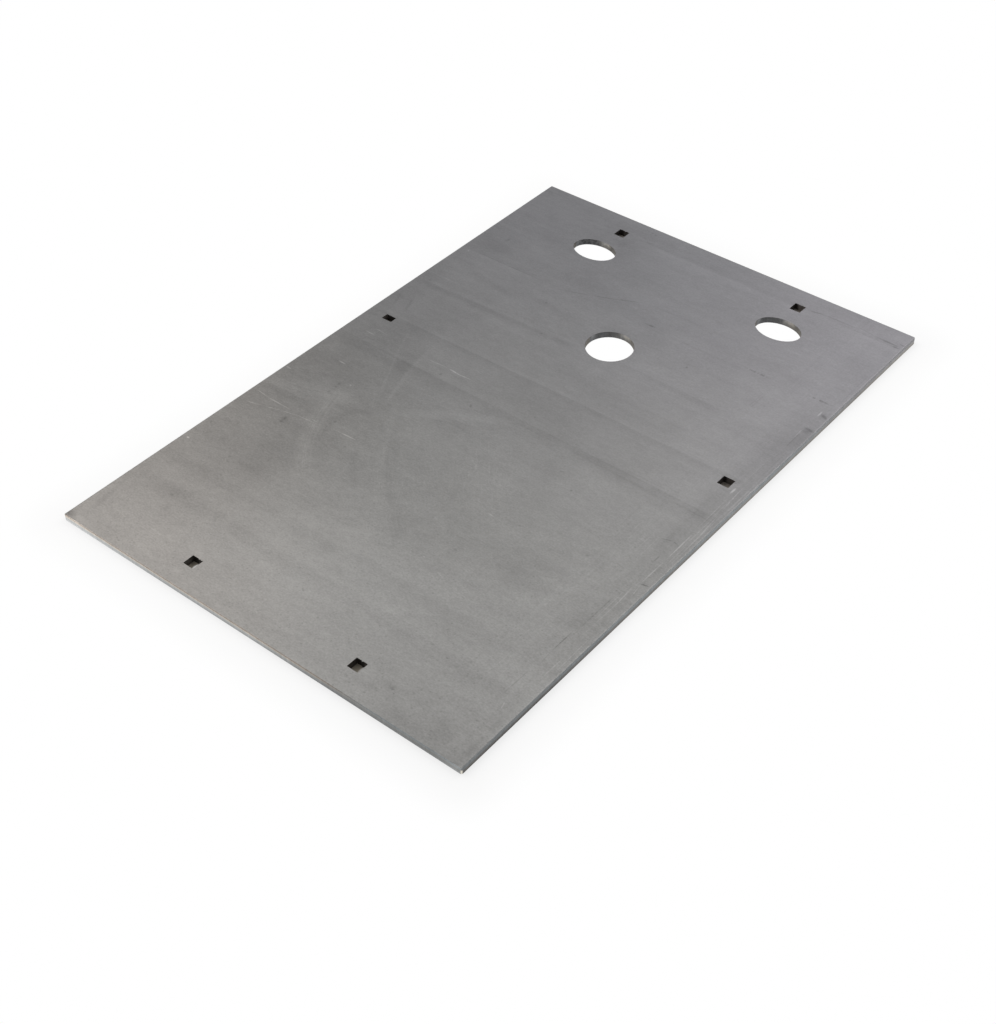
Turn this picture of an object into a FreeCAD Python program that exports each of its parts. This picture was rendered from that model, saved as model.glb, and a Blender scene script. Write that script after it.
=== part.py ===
import FreeCAD, Part
import os

# Flat steel plate for welding on, with two oval holes, one round hole and six square bolt holes.
# Millimetres. The origin is the centre of the underside, +X runs along the short side to the right,
# +Y along the long side to the end with the ovals, and +Z up through the thickness.

# Plate outline and thickness
plate_width = 400.0
plate_length = 614.0
plate_thickness = 6.0
corner_radius = 2.2

# The two long sides are rolled over at the top and only eased below. The two ends are cut crisp
side_top_radius = 1.6
side_bottom_radius = 0.4
end_edge_radius = 0.3

# The whole set of holes sits this far to the right of the plate's centre line
pattern_shift = 0.4

# Two oval holes side by side, their long axes across the plate
oval_length = 43.2
oval_width = 31.0
oval_pitch = 199.6
oval_centre_from_far_end = 64.1

# Round hole on the centre line of the set
round_diameter = 42.5
round_centre_from_far_end = 176.8
rim_chamfer = 0.25

# Square holes for coach bolts, in three rows. The left hole of the middle row is short along Y
square_side = 10.5
square_corner_radius = 0.4
short_square_height = 7.0
far_row_pitch = 192.6
far_row_from_far_end = 26.0
middle_row_from_sides = 23.5
middle_row_near_side_from_far_end = 268.3
near_row_pitch = 166.2
near_row_from_near_end = 25.5

# Nibs left on the far wall of a square hole where the cut began and ended, as offsets from its centre
nib_radius = 0.55
nib_standing = 0.65
far_left_nibs = [1.0]
near_left_nibs = [1.5, 3.8]
near_right_nibs = [0.2]

# Hole cutters run past both faces of the plate by this much
overrun = 2.0

# Distances that follow from the values above
half_width = plate_width / 2.0
half_length = plate_length / 2.0
cutter_height = plate_thickness + 2.0 * overrun
middle_row_pitch = plate_width - 2.0 * middle_row_from_sides
far_row_y = half_length - far_row_from_far_end
near_row_y = near_row_from_near_end - half_length
middle_near_side_y = half_length - middle_row_near_side_from_far_end
oval_y = half_length - oval_centre_from_far_end
round_y = half_length - round_centre_from_far_end

# Two heights or lengths closer than this are taken as the same
same = 1e-6


def is_level_at(edge, z):
    """True for an edge that lies wholly at height z."""
    box = edge.BoundBox
    return abs(box.ZMin - z) < same and abs(box.ZMax - z) < same


def edges_along(solid, z, length, along_y):
    """Level edges at height z that run the given length along Y, or else along X."""
    found = []
    for edge in solid.Edges:
        run = edge.BoundBox.YLength if along_y else edge.BoundBox.XLength
        if is_level_at(edge, z) and abs(run - length) < same:
            found.append(edge)
    return found


def upright_edges(solid):
    """Edges that run from the bottom of a solid to its top."""
    height = solid.BoundBox.ZLength
    return [e for e in solid.Edges if abs(e.BoundBox.ZLength - height) < same]


def full_box():
    """The plate's length, width and thickness with nothing taken off."""
    corner = FreeCAD.Vector(-half_width, -half_length, 0.0)
    return Part.makeBox(plate_width, plate_length, plate_thickness, corner)


def rolled_bar():
    """The box with its long edges rounded, more at the top than below."""
    bar = full_box()
    bar = bar.makeFillet(side_top_radius, edges_along(bar, plate_thickness, plate_length, True))
    return bar.makeFillet(side_bottom_radius, edges_along(bar, 0.0, plate_length, True))


def eased_ends():
    """The box with the edges across its two ends just broken."""
    bar = full_box()
    across = edges_along(bar, plate_thickness, plate_width, False) + edges_along(bar, 0.0, plate_width, False)
    return bar.makeFillet(end_edge_radius, across)


def plan_outline():
    """Tall block of the plate's plan, with its four corners rounded."""
    corner = FreeCAD.Vector(-half_width, -half_length, -overrun)
    block = Part.makeBox(plate_width, plate_length, cutter_height, corner)
    return block.makeFillet(corner_radius, upright_edges(block))


def plate_blank():
    """What the rolled bar, the eased ends and the plan outline have in common."""
    return rolled_bar().common(eased_ends()).common(plan_outline()).Solids[0]


def oval_cutter(x, y):
    """Elliptical cutter with its long axis along X."""
    centre = FreeCAD.Vector(x, y, -overrun)
    ellipse = Part.Ellipse(centre, oval_length / 2.0, oval_width / 2.0)
    face = Part.Face(Part.Wire([ellipse.toShape()]))
    return face.extrude(FreeCAD.Vector(0.0, 0.0, cutter_height))


def round_cutter(x, y):
    """Round cutter that widens at both faces, so that the two rims are lightly chamfered."""
    radius = round_diameter / 2.0
    reach = rim_chamfer + overrun
    up = FreeCAD.Vector(0.0, 0.0, 1.0)
    down = FreeCAD.Vector(0.0, 0.0, -1.0)
    cutter = Part.makeCylinder(radius, cutter_height, FreeCAD.Vector(x, y, -overrun), up)
    top = FreeCAD.Vector(x, y, plate_thickness - rim_chamfer)
    bottom = FreeCAD.Vector(x, y, rim_chamfer)
    cutter = cutter.fuse(Part.makeCone(radius, radius + reach, reach, top, up))
    return cutter.fuse(Part.makeCone(radius, radius + reach, reach, bottom, down))


def nib(x, wall_y):
    """Half-round rib that stands into a hole from its far wall."""
    centre_y = wall_y + nib_radius - nib_standing
    base = FreeCAD.Vector(x, centre_y, -2.0 * overrun)
    return Part.makeCylinder(nib_radius, cutter_height + 2.0 * overrun, base)


def square_cutter(x, near_y, height, nib_offsets):
    """Cutter for a bolt hole that stands on its near side, with small corner radii and its nibs."""
    corner = FreeCAD.Vector(x - square_side / 2.0, near_y, -overrun)
    cutter = Part.makeBox(square_side, height, cutter_height, corner)
    cutter = cutter.makeFillet(square_corner_radius, upright_edges(cutter))
    for offset in nib_offsets:
        cutter = cutter.cut(nib(x + offset, near_y + height))
    return cutter


def square_holes():
    """Left and right hole of each row, from the far end: centre X, near side Y, height and nibs."""
    half_side = square_side / 2.0
    far_y = far_row_y - half_side
    near_y = near_row_y - half_side
    rows = [
        (far_row_pitch, far_y, square_side, far_left_nibs, []),
        (middle_row_pitch, middle_near_side_y, short_square_height, [], []),
        (near_row_pitch, near_y, square_side, near_left_nibs, near_right_nibs),
    ]
    holes = []
    for pitch, side_y, left_height, left_nibs, right_nibs in rows:
        holes.append((pattern_shift - pitch / 2.0, side_y, left_height, left_nibs))
        holes.append((pattern_shift + pitch / 2.0, side_y, square_side, right_nibs))
    return holes


def plate():
    """The blank with all nine holes cut through it."""
    solid = plate_blank()
    for side in (-1.0, 1.0):
        solid = solid.cut(oval_cutter(pattern_shift + side * oval_pitch / 2.0, oval_y))
    solid = solid.cut(round_cutter(pattern_shift, round_y))
    for x, side_y, height, nibs in square_holes():
        solid = solid.cut(square_cutter(x, side_y, height, nibs))
    return solid


os.makedirs("parts", exist_ok=True)
shape = plate()
shape.exportStep("parts/plate.step")
print("plate", shape.isValid(), len(shape.Solids), len(shape.Faces), round(shape.Volume, 1))
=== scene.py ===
import math

import bpy
from mathutils import Matrix, Vector


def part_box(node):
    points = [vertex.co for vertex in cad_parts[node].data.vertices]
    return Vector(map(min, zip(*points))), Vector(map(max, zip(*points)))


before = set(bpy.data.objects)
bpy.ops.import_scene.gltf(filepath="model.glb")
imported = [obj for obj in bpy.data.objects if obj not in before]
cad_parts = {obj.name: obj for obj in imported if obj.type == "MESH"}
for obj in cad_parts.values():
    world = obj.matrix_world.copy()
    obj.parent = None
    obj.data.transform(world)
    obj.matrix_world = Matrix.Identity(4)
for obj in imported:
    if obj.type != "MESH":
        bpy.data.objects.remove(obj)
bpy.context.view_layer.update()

# Bare steel plate for welding on, lying on a plain pale floor.
# Lengths of the scene are metres. Inside the steel's shader every place is in millimetres,
# with x across the plate, y along it to the end with the ovals, and z up from the underside.

# Camera: where it stands, the point of the floor it looks at, its lens and its small roll
CAMERA_AT = (0.66843, -0.84191, 0.87721)
CAMERA_AIM = (0.05534, -0.09052, 0.0)
LENS_MM = 59.3009
SENSOR_MM = 36.0
CAMERA_ROLL_DEG = -0.2607

# Light: an even room and three soft boxes, each aimed at the plate from its own side.
# Azimuth is counted from +Y towards -X
ROOM_LEVEL = 0.445
PLAIN_COLOUR = (1.0, 1.0, 1.0)
LEFT_COLOUR = (1.0, 0.985, 0.965)
BOX_DISTANCE = 1.7
SOFT_BOXES = {
    "left_box": {"azimuth": 104.0, "elevation": 50.0, "size": 1.3, "watts": 11.0, "colour": LEFT_COLOUR},
    "back_box": {"azimuth": -10.0, "elevation": 54.0, "size": 1.3, "watts": 8.0, "colour": PLAIN_COLOUR},
    "top_box": {"azimuth": 0.0, "elevation": 89.0, "size": 1.5, "watts": 1.5, "colour": PLAIN_COLOUR},
}

# Floor: half its side in metres, its drop below the plate, its colour in the open, the painted shade given
# to it under the near and the far part of the plate, how much of it is plain white to the eye beside the
# plate, and how far out in millimetres that grows to all of it
FLOOR_HALF = 8.0
FLOOR_DROP = 0.0002
FLOOR_COLOUR = 0.97
FLOOR_PAINTED_SHADE_NEAR = (0.25, 0.225, 0.185)
FLOOR_PAINTED_SHADE_FAR = (0.20, 0.18, 0.16)
WHITE_NEAR_PLATE = 0.72
SHADOW_REACH = 45.0

# The plate in millimetres, as the frame has it
MM = 1000.0
low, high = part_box("plate")
HALF_WIDTH = (high.x - low.x) / 2.0 * MM
HALF_LENGTH = (high.y - low.y) / 2.0 * MM
THICKNESS = (high.z - low.z) * MM

# Sizes of a pattern that hardly changes through the thickness, and of one that doesn't change over the plate
DEEP = 60.0
FAR = 1.0e6

# The three large holes, left oval, right oval and round: centre and half sizes
LARGE_HOLES = [(-99.4, 242.9, 21.6, 15.5), (100.2, 242.9, 21.6, 15.5), (0.4, 130.2, 21.25, 21.25)]

# Heights y of the three rows of square holes, and how far round a row its walls are taken from
SQUARE_ROWS = (281.0, 42.0, -281.5)
SQUARE_REACH = (12.0, 9.0)

# Painted light: strips of floor lit through the two square holes of the near row, painted bright: centre,
# half sizes, strength
FLOOR_PAINTED_LIGHT_STRIPS = [(-82.2, -280.4, 2.4, 5.0, 0.42), (84.9, -279.6, 1.8, 4.6, 0.17)]

# Painted light on the walls of the square holes, where they catch more light than the rest, left ones and
# then far ones:
# centre, half sizes, gain
SQUARE_WALL_PAINTED_LIGHTS = [
    (-101.1, 281.0, 1.4, 6.0, 0.4), (91.5, 281.0, 1.4, 6.0, 0.4), (-181.3, 42.2, 1.4, 5.0, 3.2),
    (171.7, 44.0, 1.4, 6.0, 1.2), (-87.9, -281.5, 1.4, 6.0, 1.5), (78.3, -281.5, 1.4, 6.0, 0.8),
    (-93.0, 286.3, 4.5, 1.4, 1.7), (98.6, 286.3, 6.0, 1.4, 3.4), (178.6, 49.2, 6.0, 1.4, 1.9),
    (86.6, -276.2, 3.2, 1.4, 1.0), (-79.4, -276.2, 3.2, 1.4, 1.6),
]

# Steel colours, in linear light. The face is warm at its near left, neutral at its near right, cool at its
# far left and faintly violet at its far right
WARM_STEEL = (0.314, 0.299, 0.284)
PLAIN_STEEL = (0.302, 0.299, 0.292)
COOL_STEEL = (0.301, 0.299, 0.313)
VIOLET_STEEL = (0.306, 0.299, 0.316)

# How far the steel acts as a bare metal, and how rough it is where it's clean
METALLIC = 0.92
ROUGHNESS = 0.46

# Hues of the edges, which are scaled by the painted light and shade of each
SIDE_FOLD = (0.940, 1.000, 1.025)
SIDE_FOLD_FAR = (1.010, 1.000, 1.020)
SIDE_FACE = (1.080, 1.000, 0.900)
END_LINE = (1.130, 1.000, 0.880)
END_CREAM = (1.005, 1.000, 0.945)
END_GREY = (0.985, 1.000, 1.000)
WALL_STEEL = (0.158, 0.160, 0.164)
WALL_RUST = (0.172, 0.160, 0.142)
# Painted shade: the dark colour of the square holes' walls, for the shade inside them
SQUARE_WALL_SHADE = (0.070, 0.064, 0.060)
# Painted highlight where the near right corner catches the light
CORNER_HIGHLIGHT = (0.860, 0.820, 0.730)


class Wire:
    """A number that runs between shader nodes. Arithmetic on it adds the nodes that work it out."""

    def __init__(self, graph, socket):
        self.graph = graph
        self.socket = socket

    def maths(self, operation, *others):
        """This number and the others through one Math node."""
        inputs = dict(zip(("Value", "Value_001", "Value_002"), (self, *others)))
        return self.graph.add("ShaderNodeMath", {"operation": operation}, inputs, "Value")

    def swapped(self, operation, other):
        """The other number first, then this one."""
        inputs = {"Value": other, "Value_001": self}
        return self.graph.add("ShaderNodeMath", {"operation": operation}, inputs, "Value")

    def __add__(self, other):
        return self.maths("ADD", other)

    def __radd__(self, other):
        return self.maths("ADD", other)

    def __sub__(self, other):
        return self.maths("SUBTRACT", other)

    def __rsub__(self, other):
        return self.swapped("SUBTRACT", other)

    def __mul__(self, other):
        return self.maths("MULTIPLY", other)

    def __rmul__(self, other):
        return self.maths("MULTIPLY", other)

    def __neg__(self):
        return self.maths("MULTIPLY", -1.0)

    def __abs__(self):
        return self.maths("ABSOLUTE")


class Graph:
    """The nodes of one material."""

    def __init__(self, name):
        self.material = bpy.data.materials.new(name)
        self.material.use_nodes = True
        self.tree = self.material.node_tree
        self.tree.nodes.clear()

    def add(self, kind, settings, inputs, output=None):
        """A node of a kind: its settings first, then values or links into its sockets by identifier."""
        node = self.tree.nodes.new(kind)
        for name, value in settings.items():
            setattr(node, name, value)
        for name, value in inputs.items():
            socket = next(s for s in node.inputs if name in (s.identifier, s.name))
            if isinstance(value, Wire):
                self.tree.links.new(value.socket, socket)
            else:
                socket.default_value = value
        if output is None:
            return node
        return Wire(self, next(s for s in node.outputs if output in (s.identifier, s.name)))

    def blend(self, share, first, second):
        """Colour that goes from the first to the second as share goes from 0 to 1."""
        inputs = {"Factor_Float": share, "A_Color": first, "B_Color": second}
        return self.add("ShaderNodeMix", {"data_type": "RGBA"}, inputs, "Result_Color")

    def shade(self, colour, level):
        """A colour made brighter or darker by a number."""
        inputs = {"Vector": colour, "Scale": level}
        return self.add("ShaderNodeVectorMath", {"operation": "SCALE"}, inputs, "Vector")

    def rise(self, value, start, end):
        """0 until value reaches start, 1 past end, smooth between. Start may lie above end."""
        inputs = {"Value": value, "From Min": start, "From Max": end}
        settings = {"interpolation_type": "SMOOTHSTEP", "clamp": False}
        return self.add("ShaderNodeMapRange", settings, inputs, "Result")


def rgba(colour):
    """A colour with full alpha, as a socket takes it."""
    return (*colour, 1.0)


class Surface:
    """Place on the plate and the patterns that are read from it."""

    def __init__(self, graph):
        self.graph = graph
        place = graph.add("ShaderNodeTexCoord", {}, {}, "Object")
        self.place = graph.add("ShaderNodeMapping", {}, {"Vector": place, "Scale": (MM, MM, MM)}, "Vector")
        parts = graph.add("ShaderNodeSeparateXYZ", {}, {"Vector": self.place})
        self.x, self.y, self.z = (Wire(graph, socket) for socket in parts.outputs)

    def noise(self, size_x, size_y, size_z, seed, detail=2.0, roughness=0.5):
        """Soft noise about zero, from about -0.5 to 0.5, with features of the given sizes."""
        shrink = (1.0 / size_x, 1.0 / size_y, 1.0 / size_z)
        moved = (seed * 7.31, seed * 3.77, seed * 5.13)
        inputs = {"Vector": self.place, "Location": moved, "Scale": shrink}
        place = self.graph.add("ShaderNodeMapping", {}, inputs, "Vector")
        inputs = {"Vector": place, "Scale": 1.0, "Detail": detail, "Roughness": roughness}
        return self.graph.add("ShaderNodeTexNoise", {}, inputs, "Fac") - 0.5

    def leaning_noise(self, length, width, lean, seed):
        """Soft noise about zero, drawn out along a direction that leans from x by degrees."""
        inputs = {"Vector": self.place, "Location": (seed * 37.0, seed * 53.0, 0.0),
                  "Rotation": (0.0, 0.0, math.radians(lean)), "Scale": (length, width, DEEP)}
        place = self.graph.add("ShaderNodeMapping", {"vector_type": "TEXTURE"}, inputs, "Vector")
        inputs = {"Vector": place, "Scale": 1.0, "Detail": 2.0, "Roughness": 0.55}
        return self.graph.add("ShaderNodeTexNoise", {}, inputs, "Fac") - 0.5

    def band(self, value, centre, half, soft):
        """1 within half of centre, falling to 0 over soft."""
        return self.graph.rise(abs(value - centre), half + soft, half)

    def gradient(self, kind, place):
        """A gradient of the given kind round the origin of place."""
        return self.graph.add("ShaderNodeTexGradient", {"gradient_type": kind}, {"Vector": place}, "Fac")

    def oval(self, x, y, half_x, half_y, lean, change, core=0.0):
        """Soft oval mark: change in its core and 0 past its edge. Its long axis leans from x by degrees."""
        inputs = {"Vector": self.place, "Location": (x, y, 0.0), "Rotation": (0.0, 0.0, math.radians(lean)),
                  "Scale": (half_x, half_y, FAR)}
        local = self.graph.add("ShaderNodeMapping", {"vector_type": "TEXTURE"}, inputs, "Vector")
        inside = self.gradient("SPHERICAL", local)
        inputs = {"Value": inside, "From Min": 0.0, "From Max": 1.0 - core, "To Max": change}
        settings = {"interpolation_type": "SMOOTHSTEP", "clamp": False}
        return self.graph.add("ShaderNodeMapRange", settings, inputs, "Result")

    def line(self, x0, y0, x1, y1, width, change):
        """Straight mark between two points, tapered at both ends."""
        half = math.hypot(x1 - x0, y1 - y0) / 2.0 + width / 2.0
        lean = math.degrees(math.atan2(y1 - y0, x1 - x0))
        return self.oval((x0 + x1) / 2.0, (y0 + y1) / 2.0, half, width / 2.0, lean, change, 0.25)

    def total(self, marks):
        """All marks added up. Each is made only when it's added, so that few stay open at a time."""
        whole = None
        for mark in marks:
            whole = mark if whole is None else whole + mark
        return whole

    def flank(self, level, fade, edge):
        """0 below level 0, 1 above it past a soft edge, fading back to 0 at the height fade."""
        return self.graph.rise(level, -edge, edge) * self.graph.rise(level, fade, edge)

    def wipe(self, first, middle, last, half_width, streak, seed):
        """Belt along the circle through three points, filled with hairlines that follow it.

        Scaled to twice the circle's radius and turned so that the middle point lies along the first axis,
        the spherical gradient is 1 - r / 2R and the radial one is the angle in turns from half a turn."""
        (ax, ay), (bx, by), (cx, cy) = first, middle, last
        twice = 2.0 * (ax * (by - cy) + bx * (cy - ay) + cx * (ay - by))
        a2, b2, c2 = ax * ax + ay * ay, bx * bx + by * by, cx * cx + cy * cy
        ox = (a2 * (by - cy) + b2 * (cy - ay) + c2 * (ay - by)) / twice
        oy = (a2 * (cx - bx) + b2 * (ax - cx) + c2 * (bx - ax)) / twice
        radius = math.hypot(bx - ox, by - oy)
        reach = math.hypot(cx - ax, cy - ay) / (2.0 * radius)
        lean = math.atan2(by - oy, bx - ox)
        inputs = {"Vector": self.place, "Location": (ox, oy, 0.0), "Rotation": (0.0, 0.0, lean),
                  "Scale": (radius * 2.0, radius * 2.0, FAR)}
        local = self.graph.add("ShaderNodeMapping", {"vector_type": "TEXTURE"}, inputs, "Vector")
        inner = self.gradient("SPHERICAL", local)
        turned = self.gradient("RADIAL", local)
        away = radius - inner * (radius * 2.0)
        turn = turned * (2.0 * math.pi) - math.pi
        inputs = {"W": away * (1.0 / streak) + turn * (radius / 90.0) + seed, "Scale": 1.0, "Detail": 2.0}
        hairs = self.graph.add("ShaderNodeTexNoise", {"noise_dimensions": "1D"}, inputs, "Fac")
        hairs = self.graph.rise(hairs, 0.34, 0.68) * 0.60 + 0.40
        belt = self.graph.rise(abs(away), half_width, half_width * 0.1)
        return hairs * belt * self.graph.rise(abs(turn), reach * 1.15, reach * 0.6)


# Steps left by the rolls across the face: the height y of each, which climbs by slope along x, the x it
# runs from and to, the change of tone above it and how far up that fades, the same below it, and how soft
# its edge is
ROLL_STEPS = [
    (281.2, 0.0, -70.0, 110.0, -0.035, 14.0, 0.050, 18.0, 1.5),
    (282.0, 0.0, 140.0, 200.0, -0.050, 8.0, 0.035, 14.0, 1.0),
    (171.6, 0.003, -200.0, -110.0, -0.030, 14.0, 0.030, 8.0, 0.5),
    (112.6, 0.03, -200.0, -20.0, 0.030, 7.0, -0.080, 9.0, 1.6),
    (117.4, 0.0, 20.0, 130.0, 0.010, 4.0, -0.055, 9.0, 1.8),
    (50.4, 0.014, -200.0, 200.0, 0.050, 7.0, -0.050, 10.0, 0.8),
    (4.0, -0.001, -200.0, 200.0, 0.016, 14.0, -0.072, 21.0, 1.0),
    (-87.0, 0.01, -196.0, -140.0, 0.030, 6.0, -0.065, 14.0, 1.5),
    (-199.0, 0.02, -200.0, 200.0, 0.0, 4.0, -0.035, 16.0, 5.0),
    (-231.0, -0.01, -175.0, 200.0, 0.015, 12.0, -0.060, 22.0, 5.0),
    (-290.0, 0.0, -60.0, 110.0, 0.010, 8.0, -0.035, 12.0, 3.0),
]

# Thin lines across the face, dark or bright: x and y of both ends, width, tone
ROLL_LINES = [
    (-136.0, 281.5, -128.0, 281.5, 1.8, -0.06), (-117.0, 282.0, -107.0, 282.0, 2.4, -0.08),
    (-82.0, 281.6, -70.0, 282.4, 2.2, -0.09), (-69.0, 283.0, -61.0, 285.0, 2.4, -0.13),
    (106.0, 283.8, 120.0, 286.4, 2.8, -0.26), (116.0, 286.4, 160.0, 287.2, 2.4, -0.19),
    (173.0, 286.6, 197.0, 285.4, 3.2, -0.24), (150.0, 289.6, 176.0, 286.4, 2.4, -0.12),
    (190.0, 283.4, 197.0, 283.2, 2.6, -0.20), (-200.0, 171.8, -96.0, 172.4, 1.5, -0.08),
    (10.0, 174.4, 118.0, 174.8, 1.2, -0.06), (42.0, 174.6, 62.0, 174.7, 1.8, -0.08),
    (-196.0, 46.0, -160.0, 45.8, 1.4, -0.07), (-2.0, 48.6, 16.0, 48.4, 4.0, -0.07),
    (38.0, 48.8, 56.0, 48.8, 3.0, -0.05), (0.0, 3.0, 198.0, 3.4, 1.6, -0.045),
    (112.0, 6.4, 152.0, 7.0, 1.6, -0.06), (-10.0, -2.0, 60.0, -2.7, 2.6, -0.04),
    (30.0, -2.8, 160.0, -3.2, 2.8, -0.06), (146.0, -1.6, 198.0, -2.4, 2.8, -0.08),
    (-198.0, 120.6, -150.0, 120.6, 1.4, 0.06), (-186.0, 107.6, -158.0, 107.4, 1.0, 0.07),
    (-186.0, 105.8, -160.0, 105.2, 1.0, 0.07), (66.0, -230.4, 104.0, -227.2, 1.6, -0.06),
    (120.0, 222.0, 142.0, 222.4, 1.8, 0.06), (52.0, 130.0, 80.0, 130.2, 1.2, 0.05),
    (83.0, 130.2, 88.0, 131.0, 2.0, 0.07), (122.0, 246.8, 133.0, 247.2, 2.0, 0.05),
    (118.0, 205.4, 140.0, 205.4, 2.0, 0.035),
]

# Rows of small dark dashes: y, x from, x to, then the tone and half the height of all of them
DASHED_ROWS = [(177.3, 3.0, 19.0), (178.2, 103.0, 136.0), (178.9, 164.0, 196.0)]
DASH_TONE = -0.27
DASH_HALF = 1.6

# Bright scratches: x and y of both ends, width, tone
BRIGHT_SCRATCHES = [
    (-110.0, 18.0, -88.0, 19.6, 1.4, 0.38), (-88.0, 19.4, -72.0, 17.8, 1.6, 0.56),
    (-76.0, 18.2, -62.0, 19.2, 1.5, 0.48), (-181.0, 15.8, -166.0, 15.2, 1.5, 0.36),
    (-175.0, 23.4, -164.0, 23.0, 1.3, 0.30), (-168.0, 22.8, -158.0, 22.4, 1.0, 0.14),
    (-168.4, -31.0, -159.6, -31.2, 1.7, 0.52), (-160.0, -31.4, -150.0, -31.8, 1.0, 0.10),
    (-197.4, -64.8, -191.6, -65.0, 1.9, 0.70), (-108.0, -101.6, -82.0, -100.2, 1.5, 0.46),
    (-198.0, -102.8, -178.0, -105.0, 1.4, 0.38), (-182.0, -105.0, -152.0, -105.2, 1.5, 0.44),
    (-192.0, -120.4, -174.0, -115.4, 1.5, 0.36), (-176.0, -116.0, -158.0, -110.6, 1.4, 0.34),
    (-160.0, -111.0, -142.0, -106.8, 1.4, 0.34), (-146.0, -107.2, -122.0, -105.2, 1.4, 0.34),
    (-132.0, -103.2, -123.0, -103.4, 1.2, 0.26), (-193.8, -183.0, -192.0, -183.0, 2.2, 0.90),
    (-137.4, -49.6, -136.2, -50.4, 1.6, 0.45), (54.0, -101.4, 60.4, -101.8, 1.5, 0.30),
    (47.2, -169.0, 48.6, -169.2, 1.6, 0.34), (-190.6, 168.8, -189.4, 168.0, 1.9, 0.30),
    (1.0, 16.0, 5.0, 10.0, 1.2, 0.10), (187.2, 43.0, 186.8, 34.0, 2.4, 0.50),
    (188.6, 34.0, 189.4, -22.0, 1.3, 0.20), (190.2, -18.0, 190.8, -62.0, 1.6, 0.40),
    (190.8, -58.0, 190.4, -92.0, 1.5, 0.30), (190.6, 50.0, 193.4, 8.0, 1.3, 0.22),
    (193.4, 12.0, 196.2, -30.0, 1.3, 0.22), (192.4, 20.0, 192.8, -56.0, 1.1, 0.17),
    (195.0, -4.0, 196.6, -56.0, 1.2, 0.19), (193.6, -30.0, 194.0, -70.0, 1.1, 0.19),
    (191.0, -90.0, 193.2, -106.0, 1.3, 0.26), (187.6, -92.0, 190.0, -128.0, 1.1, 0.20),
    (185.4, -96.0, 186.4, -150.0, 1.0, 0.16), (190.0, 167.4, 190.0, 159.6, 2.0, 0.46),
    (189.2, 140.0, 189.4, 122.0, 1.4, 0.20), (191.6, -182.0, 191.2, -214.0, 1.6, 0.20),
    (194.4, -150.0, 195.6, -206.0, 1.3, 0.18), (185.0, -242.0, 187.4, -251.0, 1.3, 0.22),
    (171.2, 154.0, 171.4, 118.0, 1.2, 0.08), (153.0, 206.0, 153.2, 164.0, 1.4, 0.05),
    (166.6, -30.0, 166.8, -72.0, 1.2, 0.09), (172.6, -34.0, 172.8, -78.0, 1.2, 0.11),
    (152.0, -38.0, 152.4, -46.0, 1.8, 0.12), (155.4, -30.0, 155.4, -70.0, 1.2, 0.07),
    (147.0, -10.0, 147.0, -66.0, 1.2, 0.06), (155.8, -168.0, 155.6, -204.0, 1.2, 0.09),
    (159.0, -196.0, 159.4, -228.0, 1.2, 0.07), (167.0, -200.0, 167.0, -232.0, 1.2, 0.09),
    (52.0, -155.6, 62.0, -159.4, 1.3, 0.10), (64.0, -174.8, 76.0, -178.2, 1.4, 0.12),
    (196.6, 62.0, 197.0, -6.0, 1.4, 0.16), (-178.0, -277.0, -150.0, -281.0, 1.6, 0.07),
    (-146.0, -274.8, -118.0, -276.4, 1.8, 0.09), (190.2, 216.0, 189.2, 208.0, 1.8, 0.10),
]

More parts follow.
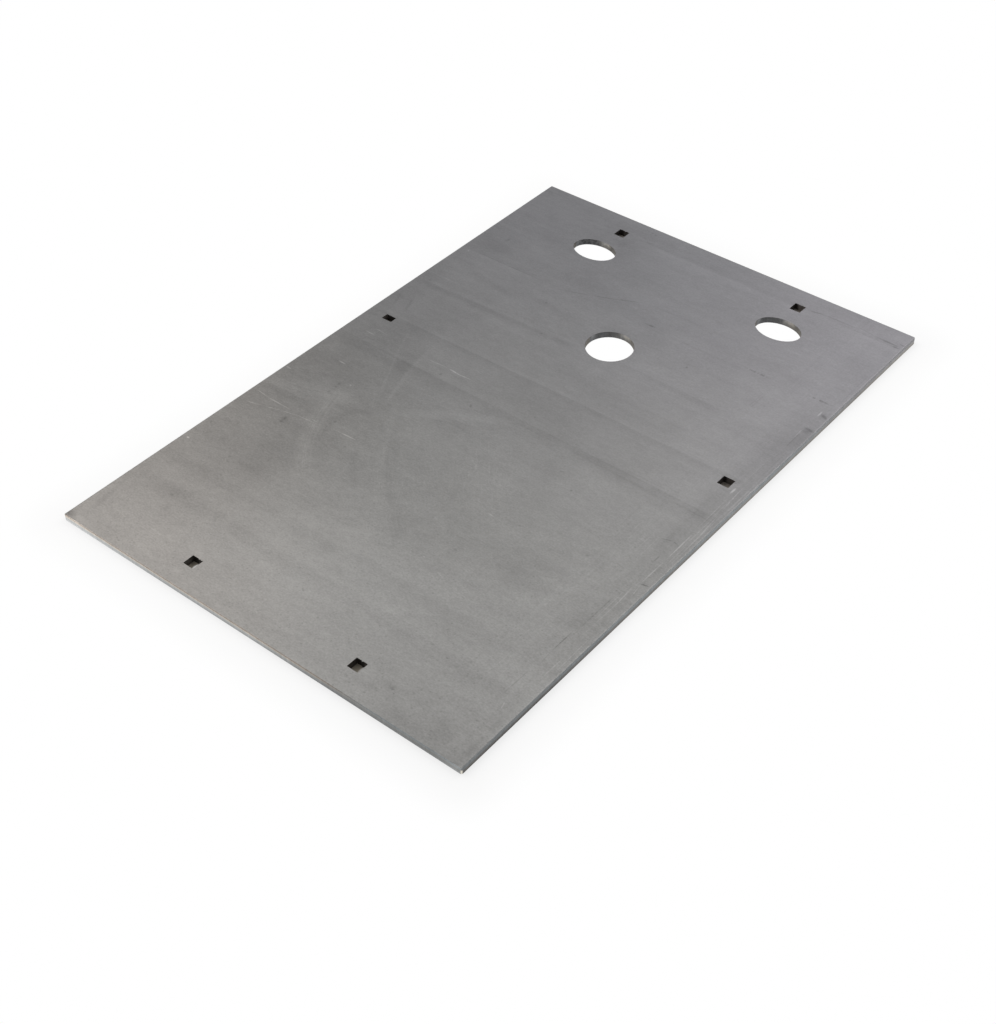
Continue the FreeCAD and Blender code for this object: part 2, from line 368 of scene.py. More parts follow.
# Dark scratches: x and y of both ends, width, tone
DARK_SCRATCHES = [
    (-86.0, 170.8, -54.0, 183.2, 1.8, -0.14), (-58.0, 181.6, -36.0, 190.8, 2.0, -0.18),
    (-40.0, 189.4, -13.0, 202.0, 2.2, -0.20), (-12.0, 202.4, 32.0, 203.8, 1.6, -0.06),
    (181.2, -158.0, 181.0, -188.0, 1.5, -0.30), (181.2, -186.0, 182.4, -202.0, 1.2, -0.14),
    (180.2, -202.0, 179.4, -244.0, 1.4, -0.15), (183.4, -98.0, 183.0, -160.0, 1.6, -0.16),
    (174.6, -41.6, 183.0, -38.0, 1.8, -0.20), (182.0, -38.2, 191.0, -40.2, 1.6, -0.16),
    (189.8, -91.6, 198.4, -89.2, 1.9, -0.38), (164.0, -85.0, 172.0, -85.0, 1.5, -0.09),
    (184.6, -57.6, 184.6, -66.4, 1.7, -0.24), (138.6, 163.0, 139.0, 130.0, 1.8, -0.07),
    (141.2, 160.0, 140.8, 132.0, 2.0, -0.09), (150.0, 250.0, 150.0, 168.0, 5.0, -0.035),
    (195.4, 244.0, 195.6, 178.0, 1.8, -0.09), (141.4, -4.0, 141.8, -60.0, 2.0, -0.06),
    (-122.4, -155.0, -121.2, -168.0, 1.3, -0.12), (-85.0, -231.0, -78.0, -227.6, 1.9, -0.13),
    (-78.0, -227.8, -71.0, -227.2, 1.2, -0.07), (-36.0, -177.8, -16.0, -170.8, 2.6, -0.09),
    (-188.0, -61.4, -174.0, -53.6, 1.6, -0.08), (-176.0, -54.2, -144.0, -49.4, 1.6, -0.07),
    (-57.0, -42.6, -38.0, -35.8, 2.0, -0.08), (-42.0, -36.6, -26.0, -35.0, 1.8, -0.08),
    (-27.0, -35.0, 4.0, -14.0, 1.8, -0.07), (-116.6, -98.0, -110.0, -115.0, 2.0, -0.09),
    (-24.0, -144.0, -17.0, -154.0, 2.2, -0.09), (190.0, 140.8, 198.4, 139.4, 4.4, -0.26),
    (192.0, 164.0, 198.4, 160.0, 4.0, -0.20), (190.2, 136.0, 190.6, 108.0, 1.8, -0.14),
    (194.0, 290.0, 198.6, 288.8, 2.2, -0.24), (-193.8, 78.0, -185.4, 58.0, 4.0, -0.08),
    (-181.0, 84.0, -170.8, 53.0, 4.4, -0.09), (-193.0, -250.0, -186.0, -298.0, 8.0, -0.10),
    (94.0, 117.6, 109.0, 122.4, 2.0, -0.06), (0.0, 27.0, 40.0, 46.6, 3.0, -0.030),
    (18.0, 19.0, 60.0, 30.0, 3.0, -0.025), (-34.0, 27.0, -26.0, 38.0, 3.0, -0.06),
]

# Hairlines left by wiping in curves: three points of the curve, half its width, tone, then how far apart
# the hairlines of all of them lie
HAIR_PITCH = 1.9
WIPES = [
    ((-152.0, 46.0), (-131.0, -2.0), (-111.0, -40.0), 2.0, 0.075),
    ((-117.0, 28.0), (-108.0, -14.0), (-94.0, -58.0), 3.6, 0.085),
    ((-114.0, -42.0), (-108.0, -52.0), (-101.0, -64.0), 4.4, 0.070),
    ((-206.0, -84.0), (-160.0, -77.0), (-112.0, -54.0), 14.0, 0.085),
    ((-138.0, -66.0), (-122.0, -112.0), (-78.0, -168.0), 13.0, 0.110),
    ((-86.0, -52.0), (-58.0, -98.0), (-4.0, -164.0), 6.0, 0.058),
    ((-88.0, -62.0), (-46.0, -29.0), (0.0, -5.0), 9.0, 0.055),
    ((-78.0, -110.0), (-62.0, -128.0), (-44.0, -145.0), 5.0, -0.060),
    ((-98.0, -58.0), (-116.0, -94.0), (-90.0, -140.0), 6.0, -0.044),
    ((-56.0, -84.0), (-32.0, -118.0), (2.0, -150.0), 7.0, -0.050),
    ((-6.0, -142.0), (8.0, -156.0), (24.0, -170.0), 9.0, -0.060),
    ((150.0, -160.0), (150.0, -135.0), (162.0, -112.0), 8.0, 0.05),
]

# Wide and slow drifts of tone, partly the face's own tone and partly painted light and shade: x, y, half
# sizes, lean in degrees, tone
DRIFTS_AND_PAINTED_LIGHT = [
    (-20.0, -225.0, 200.0, 112.0, 0.0, 0.150), (-192.0, 15.0, 116.0, 165.0, 0.0, -0.118),
    (201.0, 40.0, 46.0, 280.0, 0.0, -0.150), (202.0, -322.0, 150.0, 92.0, 0.0, -0.190),
    (-115.0, 250.0, 80.0, 80.0, 0.0, -0.050), (24.0, 38.0, 90.0, 60.0, 0.0, -0.060),
    (0.0, 262.0, 60.0, 60.0, 0.0, 0.040), (55.0, -60.0, 130.0, 90.0, 0.0, 0.045),
    (-190.0, 190.0, 60.0, 50.0, 0.0, -0.050), (60.0, 140.0, 120.0, 110.0, 0.0, 0.030),
    (-133.0, -120.0, 100.0, 200.0, 0.0, -0.085), (-60.0, 240.0, 70.0, 60.0, 0.0, -0.045),
    (-20.0, 186.0, 260.0, 32.0, 0.0, -0.045), (-196.0, 112.0, 26.0, 90.0, 0.0, -0.055),
    (186.0, -140.0, 40.0, 80.0, 0.0, -0.050), (-130.0, -274.0, 70.0, 34.0, 0.0, 0.050),
    (92.0, -278.0, 48.0, 34.0, 0.0, -0.045), (-150.0, 24.0, 36.0, 26.0, 0.0, -0.045),
]

# Soft blotches of darker or lighter film: x, y, half sizes, lean in degrees, tone
BLOTCHES = [
    (-120.0, 4.0, 13.0, 42.0, 11.0, -0.075), (-178.0, 30.0, 26.0, 20.0, 0.0, -0.020),
    (-101.0, -68.5, 7.0, 5.0, 20.0, -0.10), (-110.0, -74.0, 13.0, 6.0, 30.0, -0.05),
    (-149.0, -117.0, 6.0, 9.0, 0.0, -0.10), (-130.0, -119.0, 34.0, 10.0, 0.0, -0.055),
    (-145.0, -62.0, 5.0, 11.0, 0.0, -0.08), (-122.0, -164.0, 38.0, 38.0, 0.0, -0.070),
    (-95.0, -135.0, 14.0, 18.0, 30.0, -0.05), (113.0, -143.0, 30.0, 28.0, 0.0, -0.055),
    (118.0, -119.0, 50.0, 10.0, 0.0, -0.040), (36.0, -156.0, 14.0, 16.0, 30.0, -0.05),
    (14.0, -150.0, 24.0, 16.0, -35.0, -0.045), (60.0, -38.0, 20.0, 14.0, 20.0, -0.05),
    (64.0, -60.0, 26.0, 20.0, 0.0, -0.04), (178.0, -148.0, 12.0, 14.0, 0.0, -0.06),
    (155.0, -97.0, 14.0, 12.0, 0.0, -0.05), (95.0, -20.0, 44.0, 16.0, 0.0, 0.045),
    (40.0, -78.0, 28.0, 22.0, -45.0, 0.040), (36.0, -135.0, 22.0, 9.0, -40.0, 0.05),
    (135.0, -160.0, 26.0, 12.0, 10.0, 0.045), (-35.0, -24.0, 30.0, 14.0, 25.0, 0.045),
    (-150.0, -140.0, 40.0, 16.0, 0.0, 0.025), (-80.0, -215.0, 60.0, 14.0, 0.0, 0.025),
    (-18.0, -206.0, 13.0, 10.0, -20.0, -0.075), (-160.0, -206.0, 44.0, 12.0, 0.0, -0.055),
    (-150.0, -236.0, 28.0, 16.0, 0.0, -0.06), (-144.0, -252.0, 6.0, 7.0, 30.0, -0.09),
    (-125.0, -180.0, 26.0, 12.0, 0.0, -0.05), (-60.0, -180.0, 20.0, 14.0, 0.0, -0.045),
    (85.0, -204.0, 8.0, 8.0, 0.0, -0.05), (140.0, -206.0, 26.0, 8.0, 0.0, -0.045),
    (170.0, -290.0, 12.0, 16.0, 0.0, -0.09), (136.0, -298.0, 26.0, 10.0, -20.0, -0.08),
    (194.0, -262.0, 6.0, 12.0, 0.0, -0.08), (116.0, -281.0, 12.0, 7.0, -20.0, -0.08),
    (104.0, -291.0, 8.0, 6.0, 0.0, -0.08), (195.0, -290.0, 6.0, 18.0, 0.0, -0.12),
    (-160.0, 143.0, 26.0, 8.0, -8.0, -0.065), (-128.0, 139.0, 26.0, 6.0, -8.0, -0.05),
    (-86.0, 147.0, 14.0, 6.0, 0.0, -0.05), (-60.0, 144.0, 34.0, 7.0, -8.0, -0.04),
    (-172.0, 190.0, 24.0, 18.0, 10.0, -0.060), (-172.6, 205.5, 2.6, 6.0, -8.0, -0.13),
    (26.0, 162.0, 24.0, 16.0, -30.0, -0.055), (20.0, 146.0, 16.0, 8.0, -40.0, -0.05),
    (30.0, 76.0, 44.0, 9.0, 0.0, -0.045), (106.0, 76.0, 14.0, 8.0, 0.0, -0.05),
    (158.0, 77.0, 14.0, 7.0, 0.0, -0.04), (120.0, 60.0, 60.0, 9.0, 0.0, 0.035),
    (-84.0, 268.0, 10.0, 8.0, 20.0, -0.06), (-150.0, 296.0, 30.0, 8.0, 0.0, -0.035),
    (-80.0, 292.0, 60.0, 10.0, 0.0, -0.035), (195.0, 128.0, 10.0, 24.0, 0.0, -0.10),
    (194.0, 162.0, 5.0, 6.0, 0.0, -0.14), (193.0, 137.0, 6.0, 5.0, 0.0, -0.12),
    (-105.0, 126.0, 24.0, 14.0, 0.0, 0.04), (-186.0, -302.0, 18.0, 4.0, -8.0, 0.10),
    (193.5, -18.0, 5.0, 44.0, -2.0, 0.10), (177.0, 20.0, 12.0, 18.0, 0.0, -0.03),
    (45.0, -258.0, 44.0, 22.0, 0.0, -0.045), (-75.0, -297.0, 50.0, 16.0, 0.0, 0.050),
    (92.0, -180.0, 40.0, 30.0, 0.0, 0.060), (-199.0, -304.0, 12.0, 9.0, 0.0, -0.36),
]

# Dark specks: x, y, half sizes, lean in degrees, then the tone of all of them
SPECK_TONE = -0.16
SPECKS = [
    (-145.6, -54.6, 1.6, 2.4, 0.0), (-145.0, -59.0, 1.8, 1.3, 0.0), (-145.6, -67.6, 1.6, 1.9, 0.0),
    (-149.0, -116.0, 2.2, 3.8, 0.0), (-148.6, -120.8, 2.2, 1.8, 0.0), (-193.0, -157.4, 2.3, 1.5, -60.0),
    (-114.0, -94.0, 1.9, 1.6, 0.0), (-86.0, -112.0, 1.7, 1.7, 0.0), (82.2, -97.2, 1.6, 1.3, 0.0),
    (142.2, -91.4, 1.9, 1.5, 30.0), (165.4, -88.2, 1.4, 1.3, 0.0), (171.4, -89.2, 1.4, 1.3, 0.0),
    (88.4, -40.2, 1.4, 1.2, 0.0), (69.0, -26.8, 2.8, 1.3, 10.0), (4.4, -167.4, 1.3, 1.3, 0.0),
    (4.4, -172.2, 1.5, 1.3, 0.0), (61.0, -148.4, 2.4, 1.3, -20.0), (34.2, -216.8, 1.6, 1.2, 0.0),
    (78.0, -194.0, 1.9, 1.4, -30.0), (108.6, -208.8, 1.4, 1.3, 0.0), (111.0, -233.0, 3.0, 1.3, -20.0),
    (128.0, -237.0, 1.4, 1.4, 0.0), (152.2, -220.0, 1.7, 1.7, 0.0), (143.6, -229.2, 1.9, 1.5, 0.0),
    (141.0, -205.0, 2.6, 1.3, 0.0), (-149.4, -178.6, 1.9, 1.3, 0.0), (-146.2, -184.2, 1.9, 1.4, 0.0),
    (-151.6, -239.2, 3.0, 1.5, 0.0), (-103.2, -239.6, 1.5, 1.9, 0.0), (-139.0, -198.6, 2.8, 1.5, -30.0),
    (10.4, 13.0, 1.4, 1.3, 0.0), (-73.4, 299.2, 1.6, 1.2, 0.0), (-69.4, 298.4, 1.6, 1.3, -30.0),
    (-186.4, 109.6, 1.9, 1.9, 0.0), (-88.4, 120.0, 1.6, 1.3, 0.0), (-82.4, 147.4, 1.9, 1.7, 0.0),
    (-57.0, 108.4, 1.6, 1.4, 0.0), (183.2, 47.0, 1.5, 1.7, 0.0), (117.0, -282.4, 2.4, 1.9, 0.0),
    (104.4, -297.2, 1.8, 1.3, 0.0), (131.8, -276.4, 2.0, 1.4, -30.0), (148.8, -268.6, 1.4, 1.2, 0.0),
    (172.4, -264.2, 1.5, 1.3, 0.0), (181.0, -268.2, 1.4, 1.2, 0.0), (62.8, -259.6, 1.4, 1.5, 0.0),
    (29.6, -265.0, 1.8, 1.6, 0.0), (-24.0, -259.8, 1.5, 1.1, -20.0), (2.0, -251.6, 2.4, 1.2, -20.0),
    (100.4, -216.2, 1.9, 1.1, 0.0),
]

# Darker specks: the same
DARK_SPECK_TONE = -0.24
DARK_SPECKS = [
    (69.2, 147.2, 1.8, 1.5, 0.0), (-88.0, 9.2, 1.7, 1.9, 0.0), (-40.4, -8.2, 2.8, 1.7, -50.0),
]


def top_tone(s):
    """Change of tone over the top face, about zero: grain, roll marks, wipes, blotches, scratches and wide
    drifts, the drifts partly painted light and shade.
    """
    graph = s.graph
    coarse = graph.rise(s.y + s.x * 0.1, 90.0, -170.0)
    speckle = s.noise(1.8, 1.25, DEEP, 5, 1.0, 0.6)
    mottle = s.noise(7.0, 4.2, DEEP, 4, 2.0, 0.65)
    grain = speckle * (coarse * 0.12 + 0.25) + mottle * (coarse * 0.07 + 0.145)
    strokes = s.leaning_noise(60.0, 9.0, 24.0, 8) * 0.12 + s.leaning_noise(22.0, 4.5, -50.0, 9) * 0.06
    cloud = s.noise(46.0, 26.0, DEEP, 3, 3.0, 0.6) * (0.24 - coarse * 0.04) + strokes * coarse
    rolled = s.noise(420.0, 7.0, DEEP, 1, 2.0, 0.6) * (0.075 - coarse * 0.03)
    rolled = rolled + s.noise(150.0, 1.4, DEEP, 2, 1.0) * 0.06
    uneven = s.noise(34.0, 6.0, DEEP, 6, 2.0, 0.6)
    wobble = s.noise(60.0, 60.0, DEEP, 11, 3.0, 0.6) * 2.4
    marks = s.total(step(s, wobble, *one) for one in ROLL_STEPS) * (uneven * 2.2 + 1.0)
    marks = marks + s.total(s.line(*one) for one in ROLL_LINES) * (uneven * 1.8 + 1.0)
    dashes = graph.rise(s.noise(2.4, 30.0, DEEP, 17, 1.0), -0.12, 0.06)
    marks = marks + s.total(dashed_row(s, *one) for one in DASHED_ROWS) * dashes
    marks = marks + s.total(s.oval(*one) for one in BLOTCHES) * (mottle * 1.3 + 1.0)
    wipes = (s.wipe(*curve, HAIR_PITCH, seed) * change for seed, (*curve, change) in enumerate(WIPES, 3))
    marks = marks + s.total(wipes) * (mottle * 0.6 + 1.2)
    marks = marks + s.total(s.oval(*one) for one in DRIFTS_AND_PAINTED_LIGHT)
    broken = graph.rise(s.noise(5.0, 5.0, DEEP, 23, 2.0), -0.16, 0.04) * 0.6 + 0.4
    marks = marks + s.total(s.line(*one) for one in BRIGHT_SCRATCHES + DARK_SCRATCHES) * broken
    marks = marks + s.total(s.oval(*one, SPECK_TONE, 0.2) for one in SPECKS)
    marks = marks + s.total(s.oval(*one, DARK_SPECK_TONE, 0.2) for one in DARK_SPECKS)
    return grain + cloud + rolled + marks + edge_rub(s) + flicks(s)


def dashed_row(s, y, x0, x1):
    """The belt in which one row of dashes shows."""
    return s.oval((x0 + x1) / 2.0, y, (x1 - x0) / 2.0, DASH_HALF, 0.0, DASH_TONE, 0.3)


def step(s, wobble, y, slope, x0, x1, above, fade_up, below, fade_down, edge):
    """One roll step: its two flanks, faded in and out along x."""
    middle, half = (x0 + x1) / 2.0, (x1 - x0) / 2.0
    level = s.y + wobble - s.x * slope - y
    whole = s.flank(-level, fade_down, edge) * below
    if above:
        whole = whole + s.flank(level, fade_up, edge) * above
    if half < HALF_WIDTH:
        whole = whole * s.graph.rise(abs(s.x - middle), half + 8.0, half - 22.0)
    return whole


def edge_rub(s):
    """Fine upright streaks over the right of the face, bright close to its long edge."""
    fine = s.noise(1.3, 90.0, DEEP, 71, 1.0)
    wide = s.noise(5.0, 220.0, DEEP, 72, 1.0)
    beside = s.graph.rise(s.x, 134.0, 150.0)
    close = s.graph.rise(s.x, 180.0, 191.0) * s.graph.rise(abs(s.y + 60.0), 210.0, 90.0)
    return (fine * 0.08 + wide * 0.09) * beside + s.graph.rise(fine, 0.06, 0.34) * close * 0.13


def flicks(s):
    """Short bright flicks that lean down to the right, in the middle of the face."""
    noise = s.leaning_noise(8.0, 2.0, -50.0, 12)
    where = s.oval(24.0, -66.0, 34.0, 58.0, 38.0, 1.0, 0.2)
    where = where + s.oval(-16.0, -130.0, 54.0, 30.0, -35.0, 0.6, 0.4)
    return s.graph.rise(noise, 0.03, 0.22) * where * 0.12


def steel():
    """Bare hot-rolled steel: mill face, rolled long edges, cut ends and hole walls, the edges and walls with
    painted light and shade and the near right corner with a painted highlight.
    """
    graph = Graph("mill_steel")
    s = Surface(graph)
    from_side = HALF_WIDTH - abs(s.x)
    from_end = HALF_LENGTH - abs(s.y)
    from_top = THICKNESS - s.z
    on_top = graph.rise(from_top, 0.35, 0.05)
    through = s.band(s.z, THICKNESS / 2.0, THICKNESS / 2.0 - 0.12, 0.06)
    at_end = graph.rise(from_end, 0.5, 0.2)
    at_side = graph.rise(from_side, 1.7, 0.9) * graph.rise(from_top, 0.10, 0.55)
    outside = at_end.maths("MAXIMUM", at_side)
    wall = through * graph.rise(from_side, 2.4, 3.0) * graph.rise(from_end, 0.8, 1.2)
    square = square_zone(s)

    pits = pitting(s)
    tone = 1.0 + (top_tone(s) - pits * 0.05) * on_top
    drift = s.noise(120.0, 90.0, DEEP, 31) * 100.0
    plain = graph.rise(s.x + s.y * 0.8 + drift, -406.0, -86.0)
    colour = graph.blend(plain, rgba(WARM_STEEL), rgba(PLAIN_STEEL))
    far_colour = graph.blend(graph.rise(s.x, -60.0, 160.0), rgba(COOL_STEEL), rgba(VIOLET_STEEL))
    colour = graph.blend(graph.rise(s.y + drift, -140.0, 300.0), colour, far_colour)

    upright = s.noise(0.8, 0.8, 40.0, 41, 2.0) + s.noise(3.0, 3.0, 30.0, 42, 2.0)
    # Walls of the large holes: their hues with painted light and shade
    wall_colour_light_and_shade = graph.shade(hole_wall_hue(s), hole_wall_light_and_shade(s, from_top, upright))
    # Painted shade in the square holes, with painted light where their walls catch it
    painted_wall_light = s.total(s.oval(x, y, a, b, 0.0, gain, 0.5) for x, y, a, b, gain in SQUARE_WALL_PAINTED_LIGHTS)
    square_wall_painted_shade = graph.shade(SQUARE_WALL_SHADE, painted_wall_light + 1.0)
    wall_colour_light_and_shade = graph.blend(square, wall_colour_light_and_shade, square_wall_painted_shade)
    colour = graph.blend(at_side, colour, side_steel_and_painted_light(s, from_top))
    colour = graph.blend(at_end, colour, end_steel_and_painted_light(s, from_top, upright))
    colour = graph.blend(wall, colour, wall_colour_light_and_shade)
    # Painted highlight on the near right corner
    corner_highlight = graph.rise(s.x - HALF_WIDTH, -1.7, -0.7) * graph.rise(s.y + HALF_LENGTH, 1.7, 0.7)
    corner_highlight = corner_highlight * graph.rise(from_top, 1.8, 3.2)
    colour = graph.blend(corner_highlight, colour, rgba(CORNER_HIGHLIGHT))
    tone = tone + upright * outside * 0.35 + upright * wall * 0.5
    colour = graph.shade(colour, tone)

    rough = ROUGHNESS + s.noise(14.0, 6.0, DEEP, 51, 2.0) * 0.10 + pits * 0.12 + wall * 0.12
    height = s.noise(2.1, 1.5, DEEP, 5, 1.0, 0.6) * 0.012 - pits * 0.030 + upright * (outside + wall) * 0.05
    bump = {"Height": height, "Distance": 0.001, "Strength": 1.0}
    normal = graph.add("ShaderNodeBump", {}, bump, "Normal")
    inputs = {"Base Color": colour, "Metallic": METALLIC, "Roughness": rough, "Normal": normal}
    shader = graph.add("ShaderNodeBsdfPrincipled", {}, inputs, "BSDF")
    graph.add("ShaderNodeOutputMaterial", {}, {"Surface": shader})
    return graph.material


def side_steel_and_painted_light(s, from_top):
    """Rolled long edge in its own hues, with painted light and shade: a painted sheen where it folds over,
    painted shade below it, darkest towards the near end.
    """
    rise = s.graph.rise
    away = rise(s.y, -225.0, -100.0)
    level = away * 0.072 + s.band(s.y, 20.0, 20.0, 90.0) * 0.019 + 0.226
    painted_fold_sheen = rise(from_top, 1.15, 0.45) * 0.56
    down = rise(from_top, 1.2, 3.0)
    far = rise(s.y, -150.0, 80.0)
    # Painted shade: darker low on the edge, and most towards the near end
    low = far * 0.25 + rise(s.y, 200.0, 300.0) * 0.19 - rise(from_top, 3.8, 4.8) * 0.10 - 0.35
    low = low - rise(from_top, 4.9, 5.5) * (0.70 - away * 0.56 + far * 0.24)
    low = low - s.band(s.y, -238.0, 22.0, 40.0) * rise(from_top, 3.0, 4.4) * 0.16
    fold_hue = s.graph.blend(rise(s.y, 60.0, 240.0), rgba(SIDE_FOLD), rgba(SIDE_FOLD_FAR))
    hue = s.graph.blend(rise(from_top, 2.2, 4.4), fold_hue, rgba(SIDE_FACE))
    return s.graph.shade(hue, level * (1.0 + painted_fold_sheen + low * down))


def end_steel_and_painted_light(s, from_top, upright):
    """Cut end: a thin brown line on top, a burnished band below it, then grey, with painted light that makes
    it brightest at the left and fades it to the right.
    """
    rise = s.graph.rise
    # Painted light: the end brightest at the left, fading to the right, and brighter again at the right
    # corner
    level = 0.636 - rise(s.x, -210.0, -60.0) * 0.138 - rise(s.x, -10.0, 100.0) * 0.225
    level = level + rise(s.x, 175.0, 200.0) * 0.12
    line = rise(from_top + upright * 0.3, 1.0, 0.6)
    down = rise(from_top + upright * 0.8, 2.4, 3.2)
    line_hue = s.graph.blend(rise(s.x, 60.0, 130.0), rgba(END_LINE), rgba(SIDE_FOLD))
    hue = s.graph.blend(rise(from_top, 2.4, 1.2), rgba(END_CREAM), line_hue)
    hue = s.graph.blend(down, hue, rgba(END_GREY))
    dark = rise(s.x, -196.0, -165.0) * 0.24 - rise(s.x, 20.0, 165.0) * 0.56 + 0.24
    band = rise(s.x, -190.0, -140.0) * -0.07 - rise(s.x, 40.0, 180.0) * 0.10 + 1.13
    foot = rise(from_top, 3.6, 4.8) * (rise(abs(s.x), 60.0, 195.0) * 0.30 - 0.10)
    return s.graph.shade(hue, level * (band - line * dark - down * 0.13 + foot))


def hole_angle(s):
    """Direction round the nearest large hole, in degrees from +X through +Y."""
    rise = s.graph.rise
    right_x, oval_y, oval_half_x, oval_half_y = LARGE_HOLES[1]
    round_x, round_y, radius, _ = LARGE_HOLES[2]
    apart = right_x - round_x
    is_oval = rise(s.y, 180.0, 190.0)
    centre_x = rise(s.x, 40.0, 60.0) * apart - rise(s.x, -40.0, -60.0) * apart + round_x
    centre_y = is_oval * (oval_y - round_y) + round_y
    across = (s.x - centre_x) * (2.0 / (oval_half_x + radius))
    along = (s.y - centre_y) * (is_oval * (1.0 / oval_half_y - 1.0 / radius) + 1.0 / radius)
    return along.maths("ARCTAN2", across) * (180.0 / math.pi)


def hole_wall_light_and_shade(s, from_top, upright):
    """Painted light and shade on a large hole's wall: a painted lit patch, painted shade and a painted glint
    that follow its direction, over blotches of its own tone, and the left oval darker.
    """
    angle = hole_angle(s)
    high = s.graph.rise(from_top, 4.5, 1.0)
    painted_facing_light = s.band(angle, 83.0, 6.0, 16.0) * (high + 0.2)
    # Painted shade round part of the wall
    dark = s.band(angle, 136.0, 18.0, 22.0) * -0.32
    painted_glint = s.band(angle, 169.0, 1.0, 9.0) * (high * 0.4 + 0.2)
    left_oval = s.graph.rise(s.x, -40.0, -60.0)
    blotchy = s.noise(2.4, 2.4, 2.0, 43, 2.0)
    return 1.0 + painted_facing_light + dark + painted_glint + blotchy * (left_oval * 0.8 + 0.5) - left_oval * 0.13


def hole_wall_hue(s):
    """Blue-grey on the left of each wall and browner towards its right."""
    browner = s.graph.rise(s.noise(5.0, 5.0, 4.0, 44, 2.0) * 90.0 - hole_angle(s), -150.0, -40.0)
    return s.graph.blend(browner, rgba(WALL_STEEL), rgba(WALL_RUST))


def square_zone(s):
    """1 round the six square holes, 0 round the large ones."""
    far, middle, near = (s.graph.rise(abs(s.y - row), *SQUARE_REACH) for row in SQUARE_ROWS)
    return far.maths("MAXIMUM", middle).maths("MAXIMUM", near)


def pitting(s):
    """Fine pits, closer together towards the near end and the right."""
    cells = {"Vector": s.place, "Scale": 0.24, "Randomness": 1.0}
    near = s.graph.add("ShaderNodeTexVoronoi", {"voronoi_dimensions": "3D"}, cells, "Distance")
    chosen = s.noise(40.0, 40.0, DEEP, 61, 2.0)
    dense = s.graph.rise(s.x * 0.25 - s.y, -160.0, 340.0)
    return s.graph.rise(near, 0.26, 0.10) * s.graph.rise(chosen + dense * 0.45, 0.12, 0.46)


def floor():
    """Wide flat floor under the plate, lit as it stands near the plate and plain white further off, with
    painted shade under the plate, painted light in strips seen through the near square holes and painted
    white under the large holes.
    """
    mesh = bpy.data.meshes.new("floor")
    r = FLOOR_HALF
    corners = [(-r, -r, 0.0), (r, -r, 0.0), (r, r, 0.0), (-r, r, 0.0)]
    mesh.from_pydata(corners, [], [(0, 1, 2, 3)])
    sheet = bpy.data.objects.new("floor", mesh)
    bpy.context.scene.collection.objects.link(sheet)
    sheet.location.z = -FLOOR_DROP
    graph = Graph("pale_floor")
    s = Surface(graph)
    beyond_x = abs(s.x) - HALF_WIDTH
    beyond_y = abs(s.y) - HALF_LENGTH
    under = graph.rise(beyond_x.maths("MAXIMUM", beyond_y), -4.0, -8.0)
    out_x, out_y = beyond_x.maths("MAXIMUM", 0.0), beyond_y.maths("MAXIMUM", 0.0)
    beyond = (out_x * out_x + out_y * out_y).maths("SQRT")
    # Painted light: the floor under the three large holes is lifted to plain white over the plate's shade
    painted_white_under_holes = s.total(s.oval(x, y, a * 1.5, b * 1.5, 0.0, 1.0, 0.85) for x, y, a, b in LARGE_HOLES)
    path = graph.add("ShaderNodeLightPath", {}, {})
    kinds = ("Is Camera Ray", "Is Glossy Ray", "Is Transmission Ray")
    straight, glossy, through = (Wire(graph, path.outputs[kind]) for kind in kinds)
    seen = straight.maths("MAXIMUM", glossy).maths("MAXIMUM", through)
    white = graph.rise(beyond, 2.0, SHADOW_REACH) * (1.0 - WHITE_NEAR_PLATE) + WHITE_NEAR_PLATE
    # Painted light: bright strips on the floor seen through the two near square holes
    painted_floor_light = s.total(s.oval(x, y, a, b, 0.0, strength, 0.4) for x, y, a, b, strength in FLOOR_PAINTED_LIGHT_STRIPS)
    white = (white * (1.0 - under) + painted_floor_light).maths("MAXIMUM", painted_white_under_holes)
    shade = under * (1.0 - painted_white_under_holes)
    # Painted shade: the floor under the plate, seen through the square holes, is coloured dark for the shade
    # there
    painted_shade_colour = graph.blend(graph.rise(s.y, -240.0, 60.0), rgba(FLOOR_PAINTED_SHADE_NEAR), rgba(FLOOR_PAINTED_SHADE_FAR))
    tint = graph.blend(shade, rgba((FLOOR_COLOUR,) * 3), painted_shade_colour)
    paint = graph.add("ShaderNodeBsdfDiffuse", {}, {"Color": tint}, "BSDF")
    glow = graph.add("ShaderNodeEmission", {}, {"Strength": 1.0}, "Emission")
    inputs = {"Fac": seen * white, "Shader": paint, "Shader_001": glow}
    both = graph.add("ShaderNodeMixShader", {}, inputs, "Shader")
    graph.add("ShaderNodeOutputMaterial", {}, {"Surface": both})
    mesh.materials.append(graph.material)


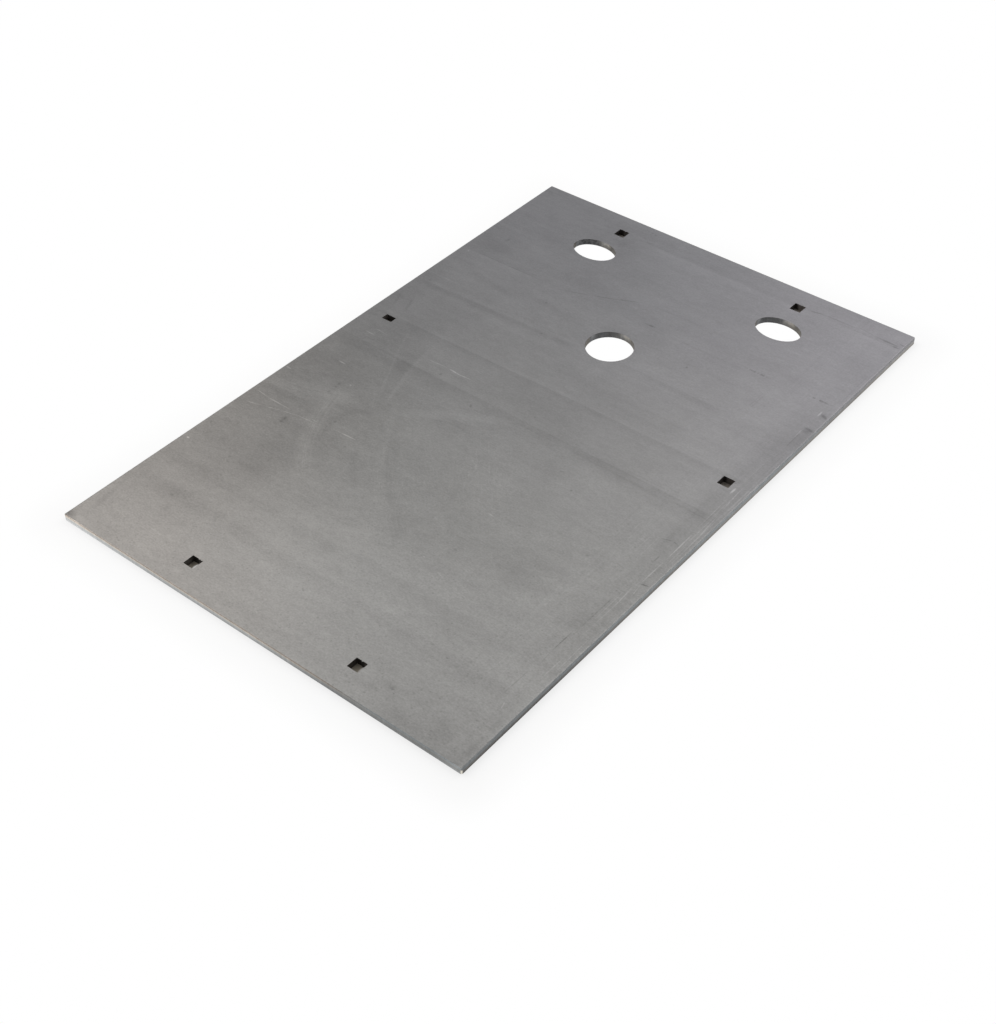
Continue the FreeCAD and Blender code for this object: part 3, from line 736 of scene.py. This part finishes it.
def room():
    """Even light from all round, plain white where the eye meets it."""
    world = bpy.data.worlds.new("room")
    bpy.context.scene.world = world
    world.use_nodes = True
    tree = world.node_tree
    tree.nodes.clear()
    light = tree.nodes.new("ShaderNodeBackground")
    light.inputs["Color"].default_value = rgba(PLAIN_COLOUR)
    light.inputs["Strength"].default_value = ROOM_LEVEL
    white = tree.nodes.new("ShaderNodeBackground")
    white.inputs["Color"].default_value = rgba(PLAIN_COLOUR)
    path = tree.nodes.new("ShaderNodeLightPath")
    either = tree.nodes.new("ShaderNodeMixShader")
    out = tree.nodes.new("ShaderNodeOutputWorld")
    tree.links.new(path.outputs["Is Camera Ray"], either.inputs[0])
    tree.links.new(light.outputs[0], either.inputs[1])
    tree.links.new(white.outputs[0], either.inputs[2])
    tree.links.new(either.outputs[0], out.inputs["Surface"])


def soft_boxes():
    """Square area lights that face the middle of the plate."""
    for name, box in SOFT_BOXES.items():
        light = bpy.data.lights.new(name, "AREA")
        light.shape = "SQUARE"
        light.size = box["size"]
        light.energy = box["watts"]
        light.color = box["colour"]
        lamp = bpy.data.objects.new(name, light)
        azimuth, elevation = math.radians(box["azimuth"]), math.radians(box["elevation"])
        away = Vector((-math.sin(azimuth) * math.cos(elevation), math.cos(azimuth) * math.cos(elevation),
                       math.sin(elevation)))
        lamp.location = away * BOX_DISTANCE
        lamp.rotation_euler = away.to_track_quat("Z", "Y").to_euler()
        lamp.visible_camera = False
        bpy.context.scene.collection.objects.link(lamp)


def camera():
    """Camera that looks down along the plate from its near right corner."""
    data = bpy.data.cameras.new("camera")
    data.lens = LENS_MM
    data.sensor_width = SENSOR_MM
    eye = bpy.data.objects.new("camera", data)
    forward = (Vector(CAMERA_AIM) - Vector(CAMERA_AT)).normalized()
    level = forward.cross(Vector((0.0, 0.0, 1.0))).normalized()
    roll = math.radians(CAMERA_ROLL_DEG)
    right = level * math.cos(roll) + level.cross(forward) * math.sin(roll)
    turned = Matrix((right, right.cross(forward), -forward)).transposed().to_4x4()
    eye.matrix_world = Matrix.Translation(CAMERA_AT) @ turned
    bpy.context.scene.collection.objects.link(eye)
    bpy.context.scene.camera = eye


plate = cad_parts["plate"]
plate.data.materials[0] = steel()
floor()
room()
soft_boxes()
camera()
bpy.context.scene.view_settings.view_transform = "Standard"
